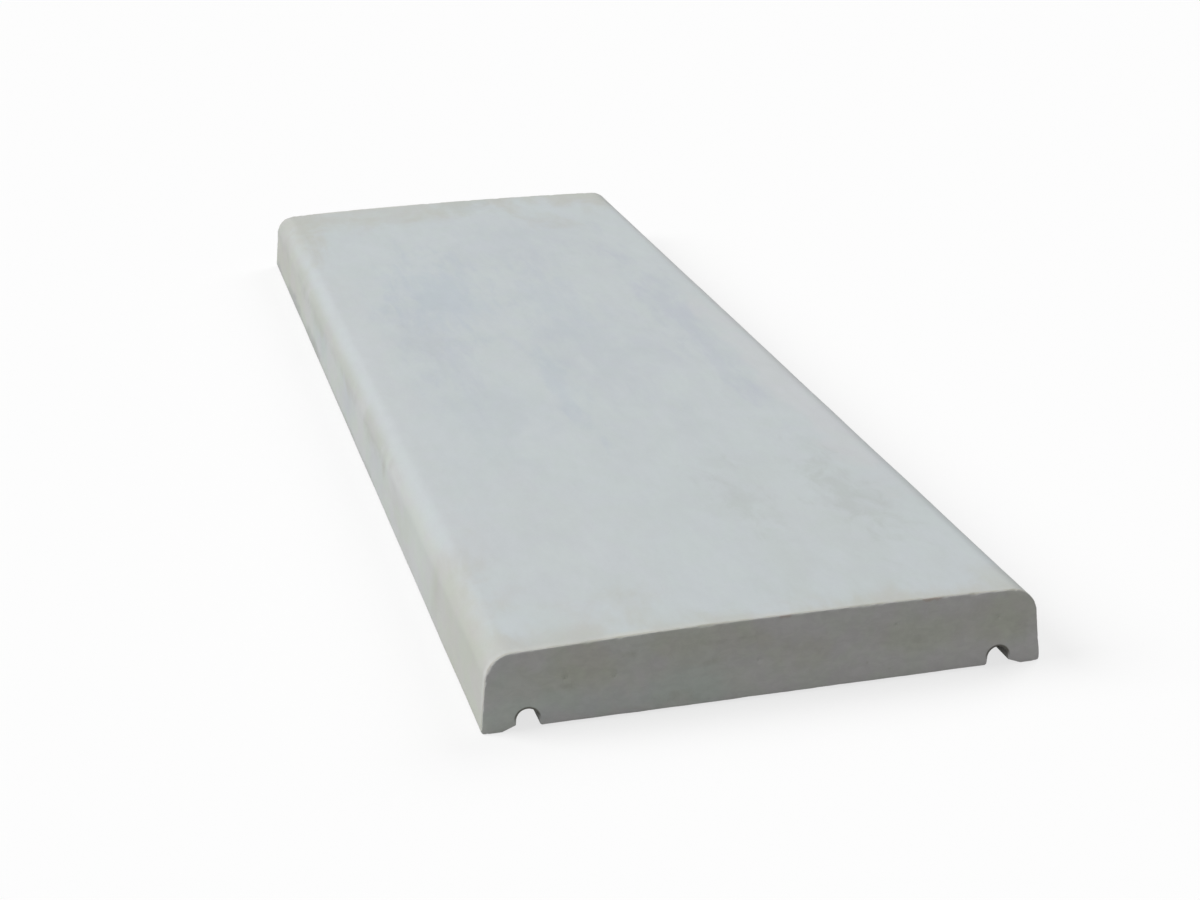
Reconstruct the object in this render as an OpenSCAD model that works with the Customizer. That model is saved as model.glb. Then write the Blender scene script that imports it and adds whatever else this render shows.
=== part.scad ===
// Precast concrete wall coping: one straight unit of a slightly cambered, bullnosed coping
// with a drip groove and a drip lip along the underside of each long edge.
// X runs across the wall, Y along it and Z up. The origin is in the middle of the footprint,
// at the level of the drip lips. Millimetres and degrees.

/* [Unit] */
// Length of the unit, along the wall
length = 900; // [300:50:1200]
// Width over the rounded outer edges of the two drip lips, where the unit is widest
width = 300; // [240:10:420]
// Height from the foot of the drip lips to the middle of the top
height = 45; // [40:1:75]

/* [Top and sides] */
// Radius of the gentle arc of the top, seen from the end
top_r = 4200; // [1500:100:6000]
// Radius of the rounded edge between the top and each side
arris_r = 15; // [8:1:20]
// Lean of each side from the vertical, in degrees
batter = 6; // [1:0.5:8]

/* [Drip grooves] */
// Width of the mouth of each drip groove, at the level of the bed
groove_w = 12; // [8:1:16]
// Depth of each drip groove above the bed
groove_depth = 9.6; // [8:0.2:14]
// Lean of each wall of a drip groove, which lets the cast unit leave its mould
groove_draft = 6; // [1:1:12]
// Width of the bevel where the bed meets each drip groove
groove_bevel = 1; // [0.5:0.5:2]

/* [Drip lips] */
// Width of each drip lip, from its groove to the side
lip_w = 18; // [14:1:30]
// How far the drip lips reach below the bed
lip_drop = 1.4; // [0.6:0.2:4]
// Width of the slope on the groove's side of each lip
lip_slope_w = 7; // [4:1:10]
// Height of that slope where it meets the groove
lip_slope_h = 2.8; // [2:0.2:4]
// Radius of the outer edge of each lip
lip_edge_r = 2; // [0.5:0.5:3]

/* [Hidden] */
$fn = 96;

// Reach of every cutting shape past the face that it cuts
clear = 5;
// How far each rounding circle laps over the two faces that it joins, so that they meet in one edge
lap = 0.005;
// How far the bevel and the slope beside a drip groove run on into its open space
run_on = 1;

half_w = width / 2;

// Outward normal and upward direction of the right-hand side face
side_out = [cos(batter), sin(batter)];
side_up = [-sin(batter), cos(batter)];

// Centre of the circle that rounds the outer edge of the lip: it reaches the full width and the foot
lip_edge_centre = [half_w - lip_edge_r, lip_edge_r - lap];

// Where the line of the right-hand side, which that circle touches, meets the level of the foot
side_foot = [lip_edge_centre.x + (lip_edge_r - lap) * tan((90 + batter) / 2), 0];

top_centre = [0, height - top_r];

// Centre of the arris circle: it touches the side and the arc of the top, both from within
arris_out = side_foot.x * cos(batter) - arris_r + lap;
arris_up = top_centre * side_up
    + sqrt(pow(top_r - arris_r + lap, 2) - pow(arris_out - top_centre * side_out, 2));
arris_centre = arris_out * side_out + arris_up * side_up;
arris_top_out = (arris_centre - top_centre) / norm(arris_centre - top_centre);

// Drip groove: leaning walls that run into a round crown, which touches them both
lip_x = half_w - lip_w;
groove_x = lip_x - groove_w / 2;
crown_r = (groove_w / 2 * cos(groove_draft) - groove_depth * sin(groove_draft))
    / (1 - sin(groove_draft));
crown_centre = [groove_x, lip_drop + groove_depth - crown_r];

// A symmetric outline: the points of its right-hand side, followed by their mirror image
module symmetric_polygon(right) {
    left = [for (i = [len(right) - 1 : -1 : 0]) [-right[i].x, right[i].y]];
    polygon(concat(right, left));
}

// Draws its children on the right, and again as their mirror image on the left
module both_edges() {
    children();
    mirror([1, 0]) children();
}

// Waste outside a circle, between the directions "from" and "to" and out to "corner"
module rounding_waste(centre, r, from, to, corner) {
    difference() {
        polygon([
            centre,
            centre + from * (r + clear),
            corner + (from + to) * clear,
            centre + to * (r + clear)
        ]);
        translate(centre) circle(r);
    }
}

// The battered blank under the arc of the top, which is a short piece of a very large circle
module arched_blank() {
    intersection() {
        symmetric_polygon([side_foot + side_up * (height + clear), side_foot]);
        translate(top_centre) circle(top_r, $fn = 15 * $fn);
    }
}

module arris_waste() {
    corner = arris_centre + arris_r * (side_out + arris_top_out);
    rounding_waste(arris_centre, arris_r, side_out, arris_top_out, corner);
}

module lip_edge_waste() {
    rounding_waste(lip_edge_centre, lip_edge_r, [0, -1], side_out, side_foot);
}

// The space under the bed, up to the bevel of each groove and the slope of each lip
module bed_waste() {
    symmetric_polygon([
        [lip_x - groove_w - groove_bevel, lip_drop],
        [lip_x - groove_w + run_on, lip_drop + groove_bevel + run_on],
        [lip_x - run_on, lip_slope_h * (1 + run_on / lip_slope_w)],
        [lip_x + lip_slope_w, 0],
        [lip_x + lip_slope_w, -clear]
    ]);
}

module groove_waste() {
    wall_top = (crown_r - lap) * [cos(groove_draft), sin(groove_draft)];
    wall_drop = crown_centre.y + wall_top.y;
    translate(crown_centre) {
        circle(crown_r);
        symmetric_polygon([wall_top, wall_top + wall_drop * [tan(groove_draft), -1]]);
    }
}

// The section of the coping, with X across and the height up
module section() {
    difference() {
        arched_blank();
        bed_waste();
        both_edges() {
            arris_waste();
            lip_edge_waste();
            groove_waste();
        }
    }
}

// One cast unit: the section over its whole length, with square ends
module coping() {
    color([0.745, 0.765, 0.765])
        rotate([90, 0, 0])
            linear_extrude(length, center = true)
                section();
}

coping();
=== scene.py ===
"""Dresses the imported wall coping: the cast concrete unit with its worn edges, and the stage that shows it."""

import math
import random

import bpy
from bpy.props import FloatProperty, FloatVectorProperty, IntProperty, PointerProperty
from mathutils import Matrix, Vector, noise
from mathutils.geometry import delaunay_2d_cdt


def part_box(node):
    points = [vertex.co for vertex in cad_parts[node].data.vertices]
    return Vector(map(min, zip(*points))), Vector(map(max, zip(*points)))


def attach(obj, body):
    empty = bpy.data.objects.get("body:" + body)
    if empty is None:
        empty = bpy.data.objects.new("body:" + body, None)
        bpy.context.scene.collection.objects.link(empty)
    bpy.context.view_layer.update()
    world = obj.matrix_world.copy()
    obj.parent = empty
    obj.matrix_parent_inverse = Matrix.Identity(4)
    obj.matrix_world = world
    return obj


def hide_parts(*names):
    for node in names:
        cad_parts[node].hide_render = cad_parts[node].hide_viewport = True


bl_info = {
    "name": "Wall coping",
    "version": (1, 0, 0),
    "blender": (4, 5, 0),
    "location": "3D View > Sidebar > Coping",
    "description": "Builds a precast concrete wall coping and the stage that shows it",
    "category": "Object",
}

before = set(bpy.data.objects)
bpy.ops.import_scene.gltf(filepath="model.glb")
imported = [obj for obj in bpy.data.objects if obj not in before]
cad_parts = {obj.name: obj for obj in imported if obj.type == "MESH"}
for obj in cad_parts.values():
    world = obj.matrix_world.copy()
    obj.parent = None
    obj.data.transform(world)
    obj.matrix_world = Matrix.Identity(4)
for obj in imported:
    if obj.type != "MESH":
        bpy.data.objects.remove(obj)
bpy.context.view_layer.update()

NODE = "coping"
LOW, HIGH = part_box(NODE)
MM = 0.001
WHITE = (1.0, 1.0, 1.0, 1.0)

# Segments of each stretch of half the section, away from the ends
TOP_STEPS = 46
ARRIS_STEPS = 12
SIDE_STEPS = 9
LIP_EDGE_STEPS = 4
FOOT_STEPS = 3
CROWN_STEPS = 10
BED_STEPS = 32

# Each of them is split into this many close to an end
END_SPLIT = 4

# Rings of points between the ends, and how far from an end they start
EVEN_RINGS = 214
EVEN_START = 4 * MM

# Turns at which the worn edge of an end has a ring, in degrees, and how far from the end the next ring is
EDGE_TURNS = (90, 68, 46, 24, 0)
FINE_REACH = 2.4 * MM

# Below this height, and this far in from each side, the outline is part of the underside
UNDERSIDE_HEIGHT = 11.5 * MM
UNDERSIDE_INSET = 4 * MM

# Spacing of the points of an end face, and how far they keep from its edge
END_SPACING = 3 * MM
END_CLEARANCE = 1.1 * MM

# Sizes of the long waves, the grain, the marks that the float leaves on the bed, and the dents of the ends
WAVE_LENGTH = 75 * MM
GRAIN_LENGTH = 9 * MM
FLOAT_WIDTH = 16 * MM
FLOAT_LENGTH = 70 * MM
DENT_LENGTH = 22 * MM
DENT_HEIGHT = 9 * MM

# Length of a patch of even wear along an end edge, and half the length of the smallest and largest chip
WEAR_LENGTH = 6 * MM
SMALLEST_CHIP = 1 * MM
LARGEST_CHIP = 4.5 * MM

# Radius of the smallest and largest air void, and its depth as a share of its radius
SMALLEST_VOID = 0.25 * MM
LARGEST_VOID = 0.65 * MM
VOID_DEPTH = 0.7

# Patches of the cement skin of the top: middle and half size in X and Y, in metres, and strength
COOL_SPOTS = (
    ((-0.055, 0.17), (0.05, 0.14), 0.85),
    ((-0.018, -0.065), (0.014, 0.1), 0.65),
    ((0.02, 0.13), (0.035, 0.12), 0.45),
    ((-0.07, -0.1), (0.06, 0.12), 0.25),
)
VIOLET_SPOTS = (
    ((0.1, 0.06), (0.022, 0.24), 0.8),
    ((-0.082, 0.06), (0.035, 0.13), 0.7),
    ((0.03, 0.02), (0.06, 0.22), 0.4),
    ((0.02, 0.3), (0.09, 0.1), 0.35),
)
# Paler strips along the long edges: partly the cement's own paler tone, partly a painted highlight on the
# left-hand arris
PALE_SPOTS = (
    ((0.129, -0.07), (0.018, 0.2), 0.9),
    ((-0.128, 0.0), (0.018, 0.4), 0.35),
    ((-0.09, -0.33), (0.07, 0.12), 0.25),
)
# Painted light on the right-hand arris: a paler strip that brightens it where the lamps leave it darker
ARRIS_PAINTED_LIGHT_SPOTS = (
    ((0.144, 0.1), (0.0105, 0.7), 0.9),
    ((0.144, 0.3), (0.0105, 0.3), 0.4),
)
BEIGE_SPOTS = (
    ((-0.06, 0.46), (0.15, 0.085), 0.75),
    ((0.1, 0.46), (0.1, 0.1), 0.9),
    ((-0.145, 0.42), (0.032, 0.17), 1.0),
    ((-0.11, -0.46), (0.1, 0.06), 0.8),
    ((-0.15, -0.41), (0.032, 0.11), 1.0),
    ((0.03, -0.462), (0.16, 0.03), 0.8),
    ((0.14, -0.44), (0.02, 0.05), 0.5),
    ((0.09, -0.455), (0.08, 0.018), 1.0),
    ((0.065, -0.33), (0.07, 0.11), 0.12),
)
SMUDGES = (
    ((0.096, -0.295), (0.026, 0.095), 0.46),
    ((0.035, -0.29), (0.018, 0.07), 0.38),
    ((-0.085, 0.05), (0.018, 0.06), 0.2),
    ((0.016, 0.44), (0.03, 0.04), 0.35),
)

# Patches of the left side: middle and half size in Y and Z, in metres, and strength
SIDE_COOL_SPOTS = (
    ((0.15, 0.03), (0.06, 0.03), 0.9),
    ((0.03, 0.02), (0.06, 0.03), 0.8),
    ((-0.12, 0.015), (0.05, 0.02), 0.5),
)
SIDE_DULL_SPOTS = (
    ((0.17, 0.038), (0.34, 0.015), 0.9),
    ((0.4, 0.038), (0.14, 0.018), 0.8),
)
SIDE_BROWN_SPOTS = (
    ((0.39, 0.02), (0.06, 0.03), 0.4),
    ((-0.135, 0.024), (0.009, 0.009), 0.5),
    ((-0.318, 0.022), (0.013, 0.02), 0.35),
    ((-0.41, 0.03), (0.04, 0.014), 0.25),
)
SIDE_FOOT_SPOTS = (
    ((0.28, 0.0), (0.3, 0.0095), 1.0),
    ((0.02, 0.0), (0.14, 0.007), 0.7),
)

# Patches of the end faces: middle and half size in X and Z, in metres, and strength
OLIVE_SPOTS = (
    ((-0.095, 0.03), (0.045, 0.018), 0.9),
    ((-0.04, 0.036), (0.05, 0.012), 0.7),
    ((0.015, 0.025), (0.022, 0.014), 0.7),
    ((0.085, 0.025), (0.05, 0.016), 0.6),
    ((0.135, 0.03), (0.02, 0.02), 0.7),
)
GREEN_SPOTS = (
    ((-0.12, 0.012), (0.05, 0.012), 0.7),
    ((-0.055, 0.01), (0.04, 0.014), 0.9),
    ((-0.14, 0.03), (0.012, 0.02), 0.5),
)
END_STREAKS = (
    ((-0.072, 0.034), (0.01, 0.0026), 0.5),
    ((-0.029, 0.0345), (0.015, 0.002), 0.6),
    ((-0.013, 0.035), (0.012, 0.002), 0.5),
    ((-0.03, 0.0245), (0.016, 0.0024), 0.45),
    ((-0.105, 0.0205), (0.014, 0.0024), 0.4),
    ((-0.047, 0.0065), (0.012, 0.005), 0.6),
    ((0.017, 0.026), (0.014, 0.004), 0.3),
    ((0.082, 0.021), (0.014, 0.006), 0.35),
    ((0.14, 0.02), (0.012, 0.012), 0.35),
    ((0.066, 0.007), (0.0016, 0.0014), 0.8),
    ((0.0535, 0.012), (0.0012, 0.001), 0.8),
)

# Rust marks on the near end: middle and half size in X, Y and Z, in metres, and strength
RUST_SPOTS = (
    ((0.009, -0.45, 0.0448), (0.004, 0.02, 0.0016), 0.3),
    ((0.089, -0.45, 0.0438), (0.006, 0.02, 0.0018), 0.35),
)


def srgb(red, green, blue):
    """A colour given as 0 to 255 per channel on screen, as the linear values that Blender works in."""
    values = []
    for channel in (red, green, blue):
        c = channel / 255
        values.append(c / 12.92 if c <= 0.04045 else ((c + 0.055) / 1.055) ** 2.4)
    return tuple(values)


def length_property(name, description, default):
    return FloatProperty(
        name=name, description=description, default=default, min=0, unit="LENGTH", precision=4
    )


def angle_property(name, description, degrees):
    return FloatProperty(
        name=name, description=description, default=math.radians(degrees), subtype="ANGLE"
    )


def colour_property(name, description, default):
    return FloatVectorProperty(
        name=name, description=description, default=default, size=3, min=0, max=1, subtype="COLOR"
    )


def strength_property(name, description, default):
    return FloatProperty(name=name, description=description, default=default, min=0)


class CopingSection(bpy.types.PropertyGroup):
    """The section across the wall."""

    top_radius: length_property("Top radius", "Radius of the gentle arc of the top", 4.2)
    arris_radius: length_property("Arris radius", "Radius between the top and each side", 15 * MM)
    batter: angle_property("Batter", "Lean of each side from the vertical", 6)
    groove_mouth: length_property("Groove mouth", "Width of a drip groove at the bed", 12 * MM)
    groove_depth: length_property("Groove depth", "Depth of a drip groove above the bed", 9.6 * MM)
    groove_draft: angle_property("Groove draft", "Lean of each wall of a drip groove", 6)
    groove_bevel: length_property("Groove bevel", "Bevel between the bed and a groove", 1 * MM)
    lip_width: length_property("Lip width", "Width of a drip lip", 18 * MM)
    lip_drop: length_property("Lip drop", "How far a lip reaches below the bed", 1.4 * MM)
    lip_slope_width: length_property("Lip slope width", "Width of a lip's inner slope", 7 * MM)
    lip_slope_height: length_property("Lip slope height", "Height of a lip's inner slope", 2.8 * MM)
    lip_edge_radius: length_property("Lip edge radius", "Radius of a lip's outer edge", 2 * MM)
    eased_radius: length_property("Eased radius", "Radius of the small cast corners", 0.45 * MM)


class CopingWear(bpy.types.PropertyGroup):
    """Unevenness of the cast faces and wear of the end edges."""

    seed: IntProperty(name="Seed", description="Picks the pattern of waves, chips and voids", default=7)
    wave: length_property("Wave", "Height of the long waves of the cast faces", 0.4 * MM)
    grain: length_property("Grain", "Height of the short unevenness of the cast faces", 0.03 * MM)
    float_marks: length_property("Float marks", "Height of the marks on the bed", 0.35 * MM)
    edge_radius: length_property("Edge radius", "Usual wear of the end edges", 0.7 * MM)
    edge_spread: length_property("Edge spread", "How much the wear of the end edges varies", 0.45 * MM)
    edge_least: length_property("Least wear", "Wear of the edges that the mould protects", 0.15 * MM)
    chip_depth: length_property("Chip depth", "Depth of the deepest chips of the end edges", 1.5 * MM)
    chips: IntProperty(name="Chips", description="Chips along each end edge", default=90)
    voids: IntProperty(name="Voids", description="Air voids in each end face", default=5)


class CopingColours(bpy.types.PropertyGroup):
    """Colours of the concrete."""

    # The top's bluish tint is partly a painted sky reflection on the cement's own grey
    top: colour_property("Top", "Cement skin of the top", srgb(195, 201.5, 203))
    top_cool: colour_property("Cool top", "Bluish patches of the top", srgb(187.5, 195.5, 201.5))
    top_violet: colour_property("Violet top", "Violet-grey patches of the top", srgb(187.5, 193, 200))
    # Partly a painted highlight on the left-hand arris
    top_pale: colour_property("Pale top", "Paler strip along each long edge", srgb(199, 202.5, 204.5))
    # Painted light: pale strip that brightens the right-hand arris where the lamps leave it darker
    arris_painted_light: colour_property("Painted arris light", "Pale strip on the right-hand arris", srgb(207, 209, 210))
    top_beige: colour_property("Beige top", "Tinge of the top along its ends", srgb(190, 192, 187))
    smudge: colour_property("Smudge", "Dull smudges on the top", srgb(178, 184, 181))
    side: colour_property("Side", "Cement skin of the sides", srgb(196, 200, 198))
    side_beige: colour_property("Beige side", "Sides towards each end", srgb(191, 193, 187))
    side_cool: colour_property("Cool side", "Bluish patches of the sides", srgb(189, 195, 196))
    side_brown: colour_property("Brown side", "Dull brownish patches of the sides", srgb(176, 176, 168))
    side_foot: colour_property("Foot of the side", "Duller foot of the sides", srgb(176, 179, 177))
    side_dull: colour_property("Dull side", "Duller clouds of the sides", srgb(186, 189, 185))
    end: colour_property("End", "Face of the ends", srgb(196, 196.5, 193.5))
    end_olive: colour_property("Olive end", "Warmer patches of the ends", srgb(193, 194, 184))
    end_green: colour_property("Green end", "Cooler patches of the ends", srgb(193, 199, 195))
    end_dull: colour_property("Dull end", "Dents and streaks of the ends", srgb(176, 177, 168))
    rust: colour_property("Rust", "Small rust marks on the near end", srgb(172, 140, 118))
    rim: colour_property("Rim", "Bare paste along the end edges", srgb(199, 201, 197))
    rim_tan: colour_property("Tan rim", "Tan line on the very edge of the ends", srgb(180, 178, 166))
    green: colour_property("Green tint", "Tint of some of the clouds", (0.985, 1.0, 0.97))
    violet: colour_property("Violet tint", "Tint of the other clouds", (1.0, 0.981, 1.0))
    bed: colour_property("Bed", "Floated underside", srgb(172, 173, 168))
    # Painted shade: dark colour painted in the crowns and on the rims of the drip grooves
    groove: colour_property("Groove", "Damp cement in the drip grooves", srgb(116, 115, 108))


class StageSettings(bpy.types.PropertyGroup):
    """Camera, floor and lamps."""

    camera_place: FloatVectorProperty(
        name="Camera place",
        description="Where the camera stands",
        default=(-0.32281, -1.40834, 0.51378),
        size=3,
        subtype="TRANSLATION",
    )
    camera_turn: angle_property("Camera turn", "Turn of the camera to the right of +Y", 13.87)
    camera_dip: angle_property("Camera dip", "How far the camera looks down", 20.52)
    camera_roll: angle_property("Camera roll", "Clockwise roll of the camera", 1.15)
    focal_length: FloatProperty(
        name="Focal length",
        description="Focal length on a 36 mm sensor",
        default=65.91,
        unit="CAMERA",
    )
    floor_size: length_property("Floor size", "Side of the square floor", 40)
    floor_colour: colour_property("Floor colour", "Colour that the floor throws back", (0.34, 0.34, 0.34))
    shadow: FloatProperty(
        name="Shadow",
        description="Share of the shadow that shows on the white floor",
        default=0.27,
        min=0,
        max=1,
        subtype="FACTOR",
    )
    sky: strength_property("Sky", "Brightness of the even light all round", 0.2)
    key: strength_property("Key", "Strength of the main lamp", 2.45)
    fill: strength_property("Fill", "Strength of the lamp on the other side", 1.08)
    front: strength_property("Front", "Strength of the lamp by the camera", 0.4)
    lamp_size: angle_property("Lamp size", "Apparent size of each lamp", 40)


# The section


def arc(centre, radius, start, end, steps):
    """Points along an arc, from one angle to the other, without its last point."""
    points = []
    for step in range(steps):
        angle = start + (end - start) * step / steps
        points.append(centre + radius * Vector((math.cos(angle), math.sin(angle))))
    return points


def line(start, end, steps):
    """Points along a straight line, without its last point."""
    return [start.lerp(end, step / steps) for step in range(steps)]


def eased_corner(before, corner, after, radius):
    """Start, centre and end of the arc that rounds a corner between two straight lines."""
    to_before = (before - corner).normalized()
    to_after = (after - corner).normalized()
    half = to_before.angle(to_after) / 2
    reach = radius / math.tan(half)
    middle = (to_before + to_after).normalized()
    centre = corner + middle * (radius / math.sin(half))
    return corner + to_before * reach, centre, corner + to_after * reach


def angle_of(vector):
    return math.atan2(vector.y, vector.x)


def corner_arc(before, corner, after, radius, steps):
    """The arc that rounds a corner, without its last point, and the point where it ends."""
    start, centre, end = eased_corner(before, corner, after, radius)
    first = angle_of(start - centre)
    turn = (angle_of(end - centre) - first + math.pi) % (2 * math.pi) - math.pi
    return arc(centre, radius, first, first + turn, steps), end


def crown_of(section):
    """Centre and radius of the round crown of the right-hand drip groove."""
    sine = math.sin(section.groove_draft)
    cosine = math.cos(section.groove_draft)
    radius = (section.groove_mouth / 2 * cosine - section.groove_depth * sine) / (1 - sine)
    x = HIGH.x - section.lip_width - section.groove_mouth / 2
    return Vector((x, section.lip_drop + section.groove_depth - radius)), radius


def top_stretch(section, side_foot, lean, split):
    """The arc of the top, the arris and the straight side, down to the given foot of the side."""
    rise = Vector((-lean.y, lean.x))
    top_centre = Vector((0, HIGH.z - section.top_radius))
    arris_out = side_foot.dot(lean) - section.arris_radius
    reach = section.top_radius - section.arris_radius
    arris_up = top_centre.dot(rise) + math.sqrt(reach**2 - (arris_out - top_centre.dot(lean)) ** 2)
    arris_centre = arris_out * lean + arris_up * rise
    arris_start = angle_of(arris_centre - top_centre)
    side_top = arris_centre + section.arris_radius * lean

    points = arc(top_centre, section.top_radius, math.pi / 2, arris_start, TOP_STEPS * split)
    points += arc(arris_centre, section.arris_radius, arris_start, section.batter, ARRIS_STEPS * split)
    return points + line(side_top, side_foot, SIDE_STEPS * split)


def right_half(section, split):
    """The right-hand half of the outline in X and Z, from the crest of the top to the middle of the bed.

    Every stretch has a multiple of split segments, so that outlines of different splits share corners."""
    lean = Vector((math.cos(section.batter), math.sin(section.batter)))
    edge_centre = Vector((HIGH.x - section.lip_edge_radius, section.lip_edge_radius))
    side_foot = edge_centre + section.lip_edge_radius * lean

    draft = section.groove_draft
    crown_centre, crown_radius = crown_of(section)
    outer_wall = crown_centre + crown_radius * Vector((math.cos(draft), math.sin(draft)))
    inner_wall = crown_centre + crown_radius * Vector((-math.cos(draft), math.sin(draft)))
    down_out = Vector((math.sin(draft), -math.cos(draft)))
    down_in = Vector((-math.sin(draft), -math.cos(draft)))

    lip_x = HIGH.x - section.lip_width
    slope = Vector((section.lip_slope_width, -section.lip_slope_height))
    foot_corner = Vector((lip_x + section.lip_slope_width, 0))
    slope_corner = meeting(outer_wall, down_out, foot_corner, slope)
    bed_corner = Vector((lip_x - section.groove_mouth - section.groove_bevel, section.lip_drop))
    bevel_corner = meeting(inner_wall, down_in, bed_corner, Vector((1, 1)))
    bed_middle = Vector((0, section.lip_drop))
    edge_foot = Vector((edge_centre.x, 0))

    eased = section.eased_radius
    foot_arc, foot_end = corner_arc(edge_foot, foot_corner, slope_corner, 2 * eased, 2 * split)
    slope_arc, slope_end = corner_arc(foot_corner, slope_corner, outer_wall, eased, 2 * split)
    bevel_arc, bevel_end = corner_arc(inner_wall, bevel_corner, bed_corner, eased, split)
    bed_arc, bed_end = corner_arc(bevel_corner, bed_corner, bed_middle, eased, split)

    points = top_stretch(section, side_foot, lean, split)
    edge_steps = LIP_EDGE_STEPS * split
    points += arc(edge_centre, section.lip_edge_radius, section.batter, -math.pi / 2, edge_steps)
    points += line(edge_foot, foot_arc[0], FOOT_STEPS * split)
    points += foot_arc
    points += line(foot_end, slope_arc[0], 2 * split)
    points += slope_arc
    points += line(slope_end, outer_wall, split)
    points += arc(crown_centre, crown_radius, draft, math.pi - draft, CROWN_STEPS * split)
    points += line(inner_wall, bevel_arc[0], split)
    points += bevel_arc
    points += line(bevel_end, bed_arc[0], split)
    points += bed_arc
    points += line(bed_end, bed_middle, BED_STEPS * split)
    points.append(bed_middle)
    return points


def meeting(point, direction, other_point, other_direction):
    """Where two lines cross."""
    gap = other_point - point
    across = direction.x * other_direction.y - direction.y * other_direction.x
    along = (gap.x * other_direction.y - gap.y * other_direction.x) / across
    return point + along * direction


def outline(section, split):
    """The whole outline, from the crest of the top round by the right-hand side and back."""
    right = right_half(section, split)
    left = [Vector((-point.x, point.y)) for point in reversed(right[1:-1])]
    return right + left


def outward_normals(points):
    """The outward normal of a closed clockwise outline at each of its points."""
    normals = []
    count = len(points)
    for index, point in enumerate(points):
        before = (point - points[index - 1]).normalized()
        after = (points[(index + 1) % count] - point).normalized()
        along = (before + after).normalized()
        normals.append(Vector((-along.y, along.x)))
    return normals


# Wear and unevenness


def smooth_step(low, high, value):
    share = min(max((value - low) / (high - low), 0), 1)
    return share * share * (3 - 2 * share)


def rough_noise(place, smoothness, octaves):
    """Noise from about -1 to 1, each octave of it twice as fine as the one before."""
    return noise.fractal(place, smoothness, 2.0, octaves)


class Chip:
    """One chip of an end edge: a short stretch of the outline that is worn back further."""

    def __init__(self, place, half_length, depth):
        self.place = place
        self.half_length = half_length
        self.depth = depth

    def depth_at(self, point):
        """Depth of the chip at a point of the outline, which fades towards the ends of the chip."""
        share = (point - self.place).length / self.half_length
        return self.depth * (1 - smooth_step(0.3, 1, share))


def scatter_chips(points, wear, rng):
    """Chips at random places of the outline, with many small ones for each large one."""
    chips = []
    for _ in range(wear.chips):
        size = rng.random() ** 3
        place = points[rng.randrange(len(points))]
        half_length = SMALLEST_CHIP + (LARGEST_CHIP - SMALLEST_CHIP) * size
        chips.append(Chip(place, half_length, wear.chip_depth * (0.2 + 0.8 * size)))
    return chips


def is_underneath(point):
    """True for the bed, the grooves and the lips, whose end edges stay sharp."""
    return point.y < UNDERSIDE_HEIGHT and abs(point.x) < HIGH.x - UNDERSIDE_INSET


def edge_wear(points, wear, chips, end):
    """How far the edge of an end is worn back at each point of the outline."""
    ends_apart = 40
    worn = []
    for point in points:
        if is_underneath(point):
            worn.append(wear.edge_least)
            continue
        place = Vector((point.x, ends_apart * end, point.y)) / WEAR_LENGTH
        radius = wear.edge_radius + wear.edge_spread * rough_noise(place, 0.6, 4)
        radius += max(chip.depth_at(point) for chip in chips)
        worn.append(max(radius, wear.edge_least))
    return worn


def unevenness(place, normal, wear, section):
    """How far a cast point lies inside the true surface: waves and grain, less the float marks on the bed."""
    shift = Vector((wear.seed, wear.seed * 2, wear.seed * 3))
    depth = wear.wave * (0.5 + 0.5 * noise.noise(place / WAVE_LENGTH + shift))
    depth += wear.grain * (1 + rough_noise(place / GRAIN_LENGTH + shift, 0.7, 3))
    between_grooves = abs(place.x) < HIGH.x - section.lip_width - section.groove_mouth
    faces_down = normal.z < -0.7
    if between_grooves and faces_down:
        streaks = Vector((place.x / FLOAT_WIDTH, place.y / FLOAT_LENGTH, 0)) + shift
        depth -= wear.float_marks * (0.5 + 0.5 * rough_noise(streaks, 0.8, 4))
    return depth


class MeshRows:
    """Vertices and faces of the unit, made one ring of the outline at a time."""

    def __init__(self):
        self.vertices = []
        self.faces = []

    def add_ring(self, places):
        first = len(self.vertices)
        self.vertices.extend(places)
        return list(range(first, first + len(places)))

    def join_equal(self, ring, following):
        count = len(ring)
        for index in range(count):
            after = (index + 1) % count
            self.faces.append((ring[index], ring[after], following[after], following[index]))

    def join_split(self, coarse, fine, coarse_first):
        """Joins a ring to one with END_SPLIT times as many points."""
        for index, corner in enumerate(coarse):
            after = coarse[(index + 1) % len(coarse)]
            stretch = [fine[(index * END_SPLIT + step) % len(fine)] for step in range(END_SPLIT + 1)]
            half = END_SPLIT // 2
            for step in range(END_SPLIT):
                tip = corner if step < half else after
                triangle = (tip, stretch[step], stretch[step + 1])
                self.faces.append(triangle if coarse_first else triangle[::-1])
            triangle = (corner, stretch[half], after)
            self.faces.append(triangle if coarse_first else triangle[::-1])


def ring_places(points, normals, y, wear, section):
    """The points of one ring of the unit in space, at a place along it."""
    places = []
    for point, normal in zip(points, normals):
        place = Vector((point.x, y, point.y))
        outward = Vector((normal.x, 0, normal.y))
        places.append(place - outward * unevenness(place, outward, wear, section))
    return places


def edge_places(points, normals, end, turn, worn, wear, section):
    """One ring round the worn edge of an end: turn 0 is at the cast faces, a quarter turn at the end face."""
    places = ring_places(points, normals, end * HIGH.y, wear, section)
    for index, (normal, radius) in enumerate(zip(normals, worn)):
        outward = Vector((normal.x, 0, normal.y))
        places[index] -= outward * radius * (1 - math.cos(turn))
        places[index].y -= end * radius * (1 - math.sin(turn))
    return places


def end_depth(place, wear, voids):
    """How far a point of an end face lies inside the flat end: shallow dents and the air voids."""
    dents = rough_noise(Vector((place.x / DENT_LENGTH, place.y, place.z / DENT_HEIGHT)), 0.7, 3)
    depth = 2 * wear.grain * max(1 + dents, 0)
    for centre, radius in voids:
        gap = (Vector((place.x, place.z)) - centre).length
        if gap < radius:
            depth += VOID_DEPTH * math.sqrt(radius**2 - gap**2)
    return depth


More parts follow.
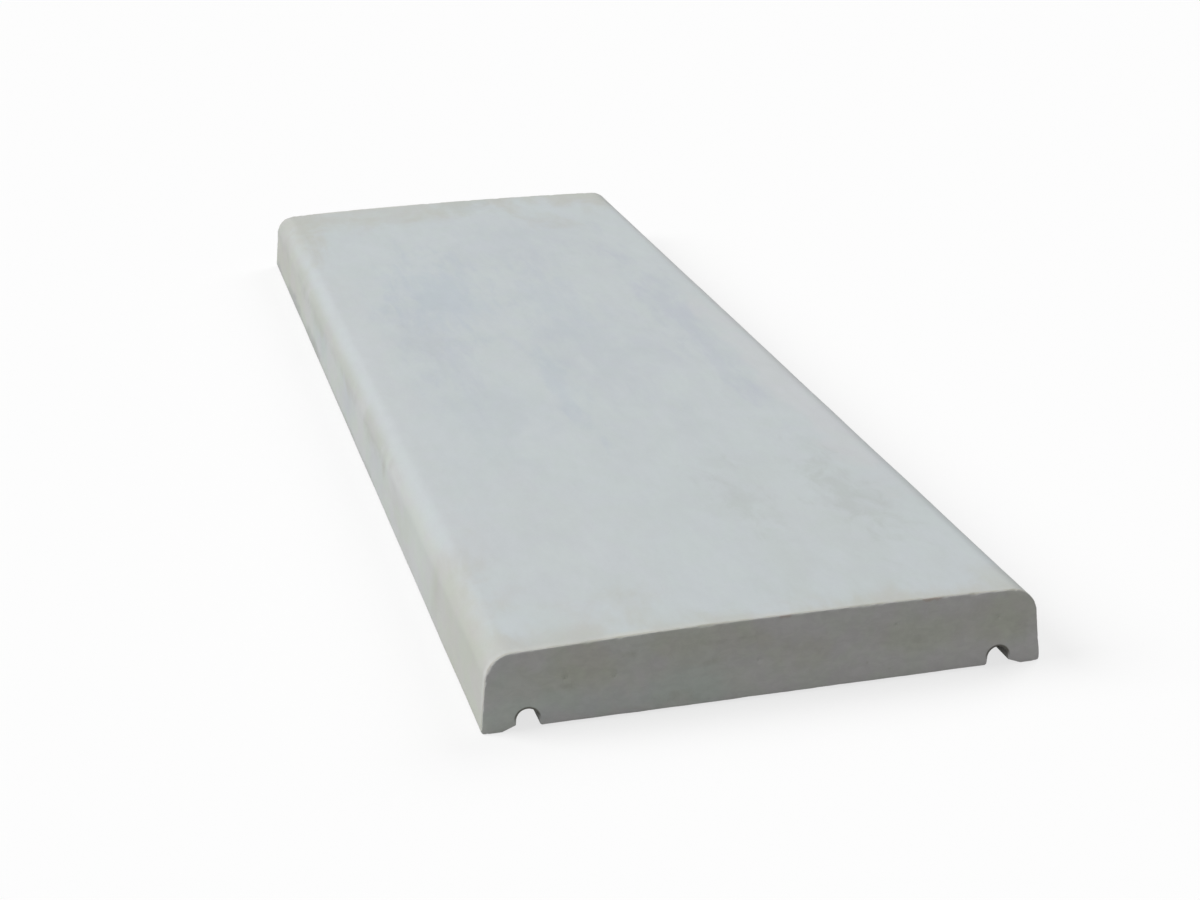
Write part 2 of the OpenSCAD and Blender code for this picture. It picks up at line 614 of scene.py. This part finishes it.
def scatter_voids(section, wear, rng):
    """Air voids of an end face, as centres and radii, clear of its edges."""
    above_grooves = 3 * MM
    below_top = 7 * MM
    from_side = 12 * MM
    low = section.lip_drop + section.groove_depth + above_grooves
    high = HIGH.z - below_top
    reach = HIGH.x - from_side
    voids = []
    while len(voids) < wear.voids:
        centre = Vector((rng.uniform(-reach, reach), rng.uniform(low, high)))
        radius = SMALLEST_VOID + (LARGEST_VOID - SMALLEST_VOID) * rng.random() ** 3
        if all((centre - other).length > 3 * (radius + width) for other, width in voids):
            voids.append((centre, radius))
    return voids


def cap_points(edge, voids):
    """Points inside an end face: an even grid that keeps clear of the edge, and rings round each void."""
    inside = []
    for centre, radius in voids:
        inside.append(centre.copy())
        for share, count in ((0.55, 6), (0.9, 10), (1.02, 12)):
            inside += arc(centre, share * radius, 0, 2 * math.pi, count)
    low = min(point.y for point in edge)
    high = max(point.y for point in edge)
    rows = int((high - low) / END_SPACING)
    columns = int(2 * HIGH.x / END_SPACING)
    for row in range(rows + 1):
        for column in range(columns + 1):
            x = -HIGH.x + (column + 0.5 * (row % 2)) * END_SPACING
            point = Vector((x, low + row * END_SPACING))
            in_void = any((point - centre).length <= radius + END_SPACING / 2 for centre, radius in voids)
            if not in_void and far_inside(point, edge):
                inside.append(point)
    return inside


def close_end(rows, ring, end, section, wear, rng):
    """Fills an end with triangles over its edge ring and over points inside it."""
    edge = [Vector((rows.vertices[index].x, rows.vertices[index].z)) for index in ring]
    voids = scatter_voids(section, wear, rng)
    count = len(edge)
    borders = [(index, (index + 1) % count) for index in range(count)]
    inner_triangles = 1
    tolerance = 1e-7
    points, _, triangles, sources, _, _ = delaunay_2d_cdt(
        edge + cap_points(edge, voids), borders, [], inner_triangles, tolerance
    )
    flat_end = end * HIGH.y
    border = 4 * MM
    new_index = []
    for point, source in zip(points, sources):
        if source and source[0] < count:
            new_index.append(ring[source[0]])
            continue
        place = Vector((point.x, flat_end, point.y))
        depth = end_depth(place, wear, voids) * smooth_step(0, border, distance_to(point, edge))
        rows.vertices.append(Vector((point.x, flat_end - end * depth, point.y)))
        new_index.append(len(rows.vertices) - 1)
    for triangle in triangles:
        corners = [new_index[index] for index in triangle]
        rows.faces.append(corners if end < 0 else corners[::-1])


def distance_to(point, edge):
    """Distance from a point to the nearest of every other point of an edge."""
    return min((point - other).length for other in edge[:: END_SPLIT // 2])


def far_inside(point, edge):
    """True if a point lies inside a closed outline and clear of it."""
    if distance_to(point, edge) < END_CLEARANCE:
        return False
    crossings = 0
    for index, corner in enumerate(edge):
        before = edge[index - 1]
        if (corner.y > point.y) != (before.y > point.y):
            x = before.x + (point.y - before.y) * (corner.x - before.x) / (corner.y - before.y)
            crossings += x > point.x
    return crossings % 2 == 1


def worn_end(rows, fine, normals, end, section, wear, rng):
    """Closes an end of the unit and adds the rings round its worn edge. Gives the last ring from the end."""
    worn = edge_wear(fine, wear, scatter_chips(fine, wear, rng), end)
    rings = []
    for angle in EDGE_TURNS:
        places = edge_places(fine, normals, end, math.radians(angle), worn, wear, section)
        rings.append(rows.add_ring(places))
    last = ring_places(fine, normals, end * (HIGH.y - FINE_REACH), wear, section)
    rings.append(rows.add_ring(last))
    for ring, following in zip(rings, rings[1:]):
        if end < 0:
            rows.join_equal(ring, following)
        else:
            rows.join_equal(following, ring)
    close_end(rows, rings[0], end, section, wear, rng)
    return rings[-1]


def unit_mesh(section, wear):
    """The mesh of the unit: fine rings round each worn end edge, even rings between them, and two ends."""
    rng = random.Random(wear.seed)
    coarse = outline(section, 1)
    fine = outline(section, END_SPLIT)
    coarse_normals = outward_normals(coarse)
    fine_normals = outward_normals(fine)

    rows = MeshRows()
    near = worn_end(rows, fine, fine_normals, -1, section, wear, rng)
    even_from = LOW.y + EVEN_START
    spacing = -2 * even_from / EVEN_RINGS
    before = None
    for index in range(EVEN_RINGS + 1):
        places = ring_places(coarse, coarse_normals, even_from + index * spacing, wear, section)
        ring = rows.add_ring(places)
        if before:
            rows.join_equal(before, ring)
        else:
            rows.join_split(ring, near, coarse_first=True)
        before = ring
    far = worn_end(rows, fine, fine_normals, 1, section, wear, rng)
    rows.join_split(before, far, coarse_first=False)

    mesh = bpy.data.meshes.new("coping_unit")
    mesh.from_pydata([tuple(place) for place in rows.vertices], [], rows.faces)
    mesh.update()
    mesh.shade_smooth()
    return mesh


# The concrete


class Sheet:
    """Short forms for the nodes of one material or of the world."""

    def __init__(self, tree, with_coordinates=False):
        self.tree = tree
        self.coordinates = self.node("ShaderNodeTexCoord").outputs if with_coordinates else None

    def node(self, kind, inputs=None, **settings):
        made = self.tree.nodes.new(kind)
        for key, value in settings.items():
            setattr(made, key, value)
        for key, value in (inputs or {}).items():
            self.put(made.inputs[key], value)
        return made

    def put(self, socket, value):
        if isinstance(value, bpy.types.NodeSocket):
            self.tree.links.new(value, socket)
        else:
            socket.default_value = value

    def math(self, operation, first, second=0.0, third=0.0, clamp=False):
        made = self.node("ShaderNodeMath", {0: first, 1: second, 2: third}, operation=operation)
        made.use_clamp = clamp
        return made.outputs[0]

    def product(self, first, second):
        return self.math("MULTIPLY", first, second)

    def centred(self, share, swing, middle=0.0):
        """A share from 0 to 1 made to swing about a middle value, by half the given swing each way."""
        return self.math("MULTIPLY_ADD", share, swing, middle - swing / 2)

    def within(self, value, start, end):
        """0 where the value is at start, 1 where it is at end, and smooth between them."""
        made = self.node(
            "ShaderNodeMapRange",
            {"Value": value, "From Min": start, "From Max": end},
            interpolation_type="SMOOTHSTEP",
        )
        return made.outputs["Result"]

    def place(self, scale, shift=(0, 0, 0)):
        """Object coordinates, scaled and shifted."""
        made = self.node(
            "ShaderNodeMapping",
            {"Vector": self.coordinates["Object"], "Scale": scale, "Location": shift},
        )
        return made.outputs["Vector"]

    def noise(self, vector, size, detail=3.0, rough=0.5, warp=0.0):
        """Soft noise whose clouds are about as wide as the given size in metres."""
        made = self.node(
            "ShaderNodeTexNoise",
            {"Vector": vector, "Scale": 1 / size, "Detail": detail, "Roughness": rough, "Distortion": warp},
        )
        return made.outputs["Fac"]

    def mix(self, share, first, second):
        made = self.node("ShaderNodeMix", data_type="RGBA")
        self.put(made.inputs["Factor"], share)
        self.put(made.inputs["A"], opaque(first))
        self.put(made.inputs["B"], opaque(second))
        return made.outputs["Result"]

    def mix_shaders(self, share, first, second):
        return self.node("ShaderNodeMixShader", {0: share, 1: first.outputs[0], 2: second.outputs[0]})

    def multiply(self, first, second):
        made = self.node("ShaderNodeMix", data_type="RGBA", blend_type="MULTIPLY")
        made.inputs["Factor"].default_value = 1.0
        self.put(made.inputs["A"], first)
        self.put(made.inputs["B"], second)
        return made.outputs["Result"]


def opaque(colour):
    if isinstance(colour, bpy.types.NodeSocket):
        return colour
    return (*colour, 1.0)


def new_material(name):
    material = bpy.data.materials.new(name)
    material.use_nodes = True
    return material


def groove_painted_shade(sheet, section, from_middle, height):
    """Where shade is painted in the drip grooves: 1 in the crown of each drip groove and on its rim, fading
    down its walls, and 0 away from them.
    """
    crown, radius = crown_of(section)
    off = sheet.math("SUBTRACT", from_middle, crown.x)
    up = sheet.math("MAXIMUM", sheet.math("SUBTRACT", height, crown.y), 0.0)
    squares = sheet.math("ADD", sheet.math("POWER", off, 2.0), sheet.math("POWER", up, 2.0))
    beside = sheet.within(sheet.math("SQRT", squares), radius + 1.7 * MM, radius + 0.9 * MM)
    return sheet.product(beside, sheet.within(height, 4 * MM, 8.5 * MM))


def spot(sheet, ragged, middle, half_size, solid):
    """1 in the middle of an ellipsoid, and 0 outside its ragged border. A half size of 0 has no limit."""
    scale = [1 / size if size else 0 for size in half_size]
    shift = [-place * factor for place, factor in zip(middle, scale)]
    reach = sheet.node("ShaderNodeVectorMath", {0: sheet.place(scale, shift)}, operation="LENGTH")
    return sheet.within(sheet.math("ADD", reach.outputs["Value"], ragged), 1.1, solid)


def add_spots(sheet, colour, axes, spots, ragged, solid, tone):
    """Mixes a tone into the colour, in spots that are given in some axes, such as 0 and 2 for X and Z."""
    for place, size, strength in spots:
        middle = [0, 0, 0]
        half_size = [0, 0, 0]
        for axis, coordinate, half in zip(axes, place, size):
            middle[axis] = coordinate
            half_size[axis] = half
        share = spot(sheet, ragged, middle, half_size, solid)
        colour = sheet.mix(sheet.product(share, strength), colour, tone)
    return colour


def top_skin(sheet, colours, patches):
    """Colour of the top: a cement grey whose bluish tint is partly a painted sky reflection, blue and violet
    patches, paler strips along the edges that are partly a painted highlight on the left-hand arris, a painted
    light strip on the right-hand arris, beige ends and smudges.
    """
    ragged = sheet.centred(patches, 3.0)
    fibres = sheet.noise(sheet.place((1.0, 0.22, 1.0), (0.7, 2.2, 0)), 0.01, 4.0, 0.65, 0.5)
    stains = sheet.noise(sheet.place((1.0, 0.5, 1.0), (1.9, 0.6, 0)), 0.013, 5.0, 0.65, 0.5)
    blotchy = sheet.centred(stains, 4.0)
    streaky = sheet.math("ADD", sheet.centred(fibres, 2.2), sheet.centred(patches, 1.4))
    colour = add_spots(sheet, colours.top, (0, 1), VIOLET_SPOTS, streaky, 0.0, colours.top_violet)
    colour = add_spots(sheet, colour, (0, 1), COOL_SPOTS, streaky, 0.0, colours.top_cool)
    colour = add_spots(sheet, colour, (0, 1), PALE_SPOTS, ragged, 0.45, colours.top_pale)
    # Painted light along the right-hand arris
    colour = add_spots(sheet, colour, (0, 1), ARRIS_PAINTED_LIGHT_SPOTS, 0.0, 0.1, colours.arris_painted_light)
    colour = add_spots(sheet, colour, (0, 1), BEIGE_SPOTS, ragged, 0.1, colours.top_beige)
    return add_spots(sheet, colour, (0, 1), SMUDGES, blotchy, -0.2, colours.smudge)


def side_skin(sheet, colours, from_centre, clouds, patches):
    """Colour of the sides: cement grey, beige towards the ends, with duller clouds and a brownish foot."""
    shift = sheet.centred(clouds, 0.3)
    ends = sheet.within(sheet.math("ADD", from_centre, shift), 0.24, 0.38)
    colour = sheet.mix(ends, colours.side, colours.side_beige)
    dull = sheet.product(sheet.within(patches, 0.5, 0.72), 0.5)
    colour = sheet.mix(dull, colour, colours.side_dull)
    ragged = sheet.centred(patches, 3.0)
    colour = add_spots(sheet, colour, (1, 2), SIDE_COOL_SPOTS, ragged, 0.1, colours.side_cool)
    colour = add_spots(sheet, colour, (1, 2), SIDE_DULL_SPOTS, ragged, 0.5, colours.side_dull)
    colour = add_spots(sheet, colour, (1, 2), SIDE_FOOT_SPOTS, ragged, 0.3, colours.side_foot)
    return add_spots(sheet, colour, (1, 2), SIDE_BROWN_SPOTS, ragged, -0.4, colours.side_brown)


def end_skin(sheet, colours, height, patches, mottle):
    """Colour of the ends: an even grey with painted light that makes it paler towards its foot, against the
    shade close to the floor, and olive and green patches, streaks and rust.
    """
    ragged = sheet.centred(patches, 3.6)
    uneven = sheet.centred(mottle, 3.6)
    colour = add_spots(sheet, colours.end, (0, 2), OLIVE_SPOTS, ragged, 0.1, colours.end_olive)
    colour = add_spots(sheet, colour, (0, 2), GREEN_SPOTS, ragged, 0.1, colours.end_green)
    colour = add_spots(sheet, colour, (0, 2), END_STREAKS, uneven, -0.6, colours.end_dull)
    colour = add_spots(sheet, colour, (0, 1, 2), RUST_SPOTS, uneven, 0.3, colours.rust)
    blotches = sheet.noise(sheet.place((0.6, 1.0, 1.2), (2.2, 0.3, 1.4)), 0.005, 5.0, 0.65, 0.6)
    value = sheet.centred(sheet.within(blotches, 0.35, 0.65), 0.075, 0.985)
    # Painted light: paler towards the foot of each end, against the shade close to the floor
    value = sheet.math("MULTIPLY_ADD", sheet.within(height, 32 * MM, 3 * MM), 0.13, value)
    return sheet.node("ShaderNodeHueSaturation", {"Value": value, "Color": colour}).outputs["Color"]


def end_edges(sheet, colours, colour, across, from_centre, patches, mottle):
    """Mixes into the cast faces, close to the ends, bare paste on the left half and a broken tan line."""
    left = sheet.within(across, 0.1, -0.1)
    rim = sheet.within(from_centre, HIGH.y - 7 * MM, HIGH.y - 3 * MM)
    rim = sheet.product(sheet.product(rim, sheet.within(patches, 0.35, 0.6)), left)
    colour = sheet.mix(rim, colour, colours.rim)
    tan = sheet.within(from_centre, HIGH.y - 2.4 * MM, HIGH.y - 1 * MM)
    tan = sheet.product(sheet.product(tan, sheet.within(mottle, 0.3, 0.6)), 0.7)
    return sheet.mix(tan, colour, colours.rim_tan)


def concrete(section, colours):
    """Cast concrete: a cloudy cement skin, duller ends with bare paste along their edges, a floated bed."""
    material = new_material("concrete")
    sheet = Sheet(material.node_tree, with_coordinates=True)
    position = sheet.node("ShaderNodeSeparateXYZ", {0: sheet.coordinates["Object"]})
    facing = sheet.node("ShaderNodeSeparateXYZ", {0: sheet.coordinates["Normal"]})
    across, along, height = position.outputs
    from_middle = sheet.math("ABSOLUTE", across)
    from_centre = sheet.math("ABSOLUTE", along)
    upward = facing.outputs["Z"]
    on_top = sheet.within(upward, 0.45, 0.97)
    on_bed = sheet.within(upward, -0.4, -0.9)
    on_end = sheet.within(from_centre, HIGH.y - 0.7 * MM, HIGH.y - 0.3 * MM)

    clouds = sheet.noise(sheet.place((1.0, 0.45, 1.0)), 0.16, 2.0)
    patches = sheet.noise(sheet.place((1.0, 0.5, 1.0), (3.1, 1.7, 0.4)), 0.04, 5.0, 0.6, 0.4)
    tints = sheet.noise(sheet.place((1.0, 0.6, 1.0), (1.2, 0.4, 4.2)), 0.02, 3.0, 0.55, 0.3)
    mottle = sheet.noise(sheet.place((1.0, 0.4, 1.0), (4.4, 0.1, 2.0)), 0.008, 4.0, 0.65)
    grain = sheet.noise(sheet.place((1.0, 1.0, 1.0), (0.2, 5.1, 2.4)), 0.0016, 3.0, 0.6)

    side = side_skin(sheet, colours, from_centre, clouds, patches)
    colour = sheet.mix(on_top, side, top_skin(sheet, colours, patches))
    colour = end_edges(sheet, colours, colour, across, from_centre, patches, mottle)
    colour = sheet.mix(on_bed, colour, colours.bed)
    colour = sheet.mix(on_end, colour, end_skin(sheet, colours, height, patches, mottle))
    # Painted shade in the crowns and on the rims of the drip grooves
    colour = sheet.mix(groove_painted_shade(sheet, section, from_middle, height), colour, colours.groove)

    tint = sheet.mix(sheet.within(tints, 0.38, 0.62), colours.green, colours.violet)
    tint = sheet.mix(sheet.product(on_top, 0.65), tint, WHITE[:3])
    value = 1.015
    for variation, swing in ((patches, 0.1), (mottle, 0.1), (grain, 0.05)):
        value = sheet.math("ADD", sheet.centred(variation, swing), value)
    tinted = sheet.multiply(colour, tint)
    varied = sheet.node("ShaderNodeHueSaturation", {"Value": value, "Color": tinted})
    relief = sheet.math("MULTIPLY_ADD", mottle, 2.0, grain)
    bump = sheet.node("ShaderNodeBump", {"Strength": 0.3, "Distance": 0.15 * MM, "Height": relief})

    shader = sheet.tree.nodes["Principled BSDF"]
    sheet.put(shader.inputs["Base Color"], varied.outputs["Color"])
    sheet.put(shader.inputs["Roughness"], sheet.math("MULTIPLY_ADD", mottle, 0.25, 0.7))
    sheet.put(shader.inputs["Normal"], bump.outputs["Normal"])
    shader.inputs["Specular IOR Level"].default_value = 0.25
    return material


# The stage


def seen_directly(sheet):
    """1 for what the camera sees, directly or in gloss and glass, and 0 for light on its way to a surface."""
    rays = sheet.node("ShaderNodeLightPath")
    seen = sheet.math("MAXIMUM", rays.outputs["Is Camera Ray"], rays.outputs["Is Glossy Ray"])
    return sheet.math("MAXIMUM", seen, rays.outputs["Is Transmission Ray"])


def floor_material(settings):
    """Floor that shows as white with part of the shadow, and throws back no more light than a grey one."""
    material = new_material("floor")
    sheet = Sheet(material.node_tree)
    sheet.tree.nodes.remove(sheet.tree.nodes["Principled BSDF"])
    plain = sheet.node("ShaderNodeBsdfDiffuse", {"Color": opaque(settings.floor_colour)})
    white = sheet.node("ShaderNodeBsdfDiffuse", {"Color": WHITE})
    glow = sheet.node("ShaderNodeEmission", {"Color": WHITE, "Strength": 1.0})
    shown = sheet.mix_shaders(settings.shadow, glow, white)
    both = sheet.mix_shaders(seen_directly(sheet), plain, shown)
    sheet.put(sheet.tree.nodes["Material Output"].inputs["Surface"], both.outputs[0])
    return material


def light_world(settings):
    """Even light all round, seen as white by the camera and in reflections."""
    world = bpy.data.worlds.new("studio")
    world.use_nodes = True
    sheet = Sheet(world.node_tree)
    sheet.tree.nodes.remove(sheet.tree.nodes["Background"])
    sky = sheet.node("ShaderNodeBackground", {"Color": WHITE, "Strength": settings.sky})
    white = sheet.node("ShaderNodeBackground", {"Color": WHITE, "Strength": 1.0})
    both = sheet.mix_shaders(seen_directly(sheet), sky, white)
    sheet.put(sheet.tree.nodes["World Output"].inputs["Surface"], both.outputs[0])
    bpy.context.scene.world = world


def add_floor(settings):
    half = settings.floor_size / 2
    corners = [(-half, -half, 0), (half, -half, 0), (half, half, 0), (-half, half, 0)]
    mesh = bpy.data.meshes.new("floor")
    mesh.from_pydata(corners, [], [(0, 1, 2, 3)])
    mesh.materials.append(floor_material(settings))
    floor = bpy.data.objects.new("floor", mesh)
    bpy.context.collection.objects.link(floor)


def add_lamp(name, strength, size, direction):
    """A distant soft lamp that shines from the given direction."""
    data = bpy.data.lights.new(name, "SUN")
    data.energy = strength
    data.angle = size
    lamp = bpy.data.objects.new(name, data)
    lamp.rotation_euler = Vector(direction).to_track_quat("Z", "Y").to_euler()
    bpy.context.collection.objects.link(lamp)


def add_lamps(settings):
    add_lamp("key", settings.key, settings.lamp_size, (-0.75, 0.25, 0.61))
    add_lamp("fill", settings.fill, settings.lamp_size, (0.65, 0.45, 0.61))
    add_lamp("front", settings.front, settings.lamp_size, (-0.25, -0.9, 0.35))


def add_camera(settings):
    data = bpy.data.cameras.new("camera")
    data.sensor_width = 36
    data.lens = settings.focal_length
    camera = bpy.data.objects.new("camera", data)
    bpy.context.collection.objects.link(camera)
    turn = Matrix.Rotation(-settings.camera_turn, 4, "Z")
    dip = Matrix.Rotation(math.pi / 2 - settings.camera_dip, 4, "X")
    roll = Matrix.Rotation(-settings.camera_roll, 4, "Z")
    camera.matrix_world = Matrix.Translation(settings.camera_place) @ turn @ dip @ roll
    bpy.context.scene.camera = camera


# Operators and the panel


class COPING_OT_add_unit(bpy.types.Operator):
    """Adds the cast concrete unit with its worn edges."""

    bl_idname = "coping.add_unit"
    bl_label = "Add coping unit"

    def execute(self, context):
        scene = context.scene
        mesh = unit_mesh(scene.coping_section, scene.coping_wear)
        mesh.materials.append(concrete(scene.coping_section, scene.coping_colours))
        unit = bpy.data.objects.new("coping_unit", mesh)
        context.collection.objects.link(unit)
        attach(unit, "root")
        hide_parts(NODE)
        return {"FINISHED"}


class COPING_OT_add_stage(bpy.types.Operator):
    """Adds the floor, the lamps and the camera."""

    bl_idname = "coping.add_stage"
    bl_label = "Add stage"

    def execute(self, context):
        settings = context.scene.coping_stage
        add_floor(settings)
        add_lamps(settings)
        add_camera(settings)
        light_world(settings)
        context.scene.view_settings.view_transform = "Standard"
        return {"FINISHED"}


class COPING_PT_sidebar(bpy.types.Panel):
    """Lists the operators and their settings."""

    bl_idname = "COPING_PT_sidebar"
    bl_label = "Wall coping"
    bl_space_type = "VIEW_3D"
    bl_region_type = "UI"
    bl_category = "Coping"

    def draw(self, context):
        layout = self.layout
        layout.operator("coping.add_unit")
        layout.operator("coping.add_stage")
        for name in SETTINGS:
            group = getattr(context.scene, name)
            box = layout.box()
            for prop in group.bl_rna.properties:
                if prop.identifier not in {"rna_type", "name"}:
                    box.prop(group, prop.identifier)


SETTINGS = {
    "coping_section": CopingSection,
    "coping_wear": CopingWear,
    "coping_colours": CopingColours,
    "coping_stage": StageSettings,
}
CLASSES = (*SETTINGS.values(), COPING_OT_add_unit, COPING_OT_add_stage, COPING_PT_sidebar)


def register():
    for cls in CLASSES:
        bpy.utils.register_class(cls)
    for name, group in SETTINGS.items():
        setattr(bpy.types.Scene, name, PointerProperty(type=group))


def unregister():
    for name in SETTINGS:
        delattr(bpy.types.Scene, name)
    for cls in reversed(CLASSES):
        bpy.utils.unregister_class(cls)


def main():
    register()
    bpy.ops.coping.add_unit()
    bpy.ops.coping.add_stage()


if __name__ == "__main__":
    main()
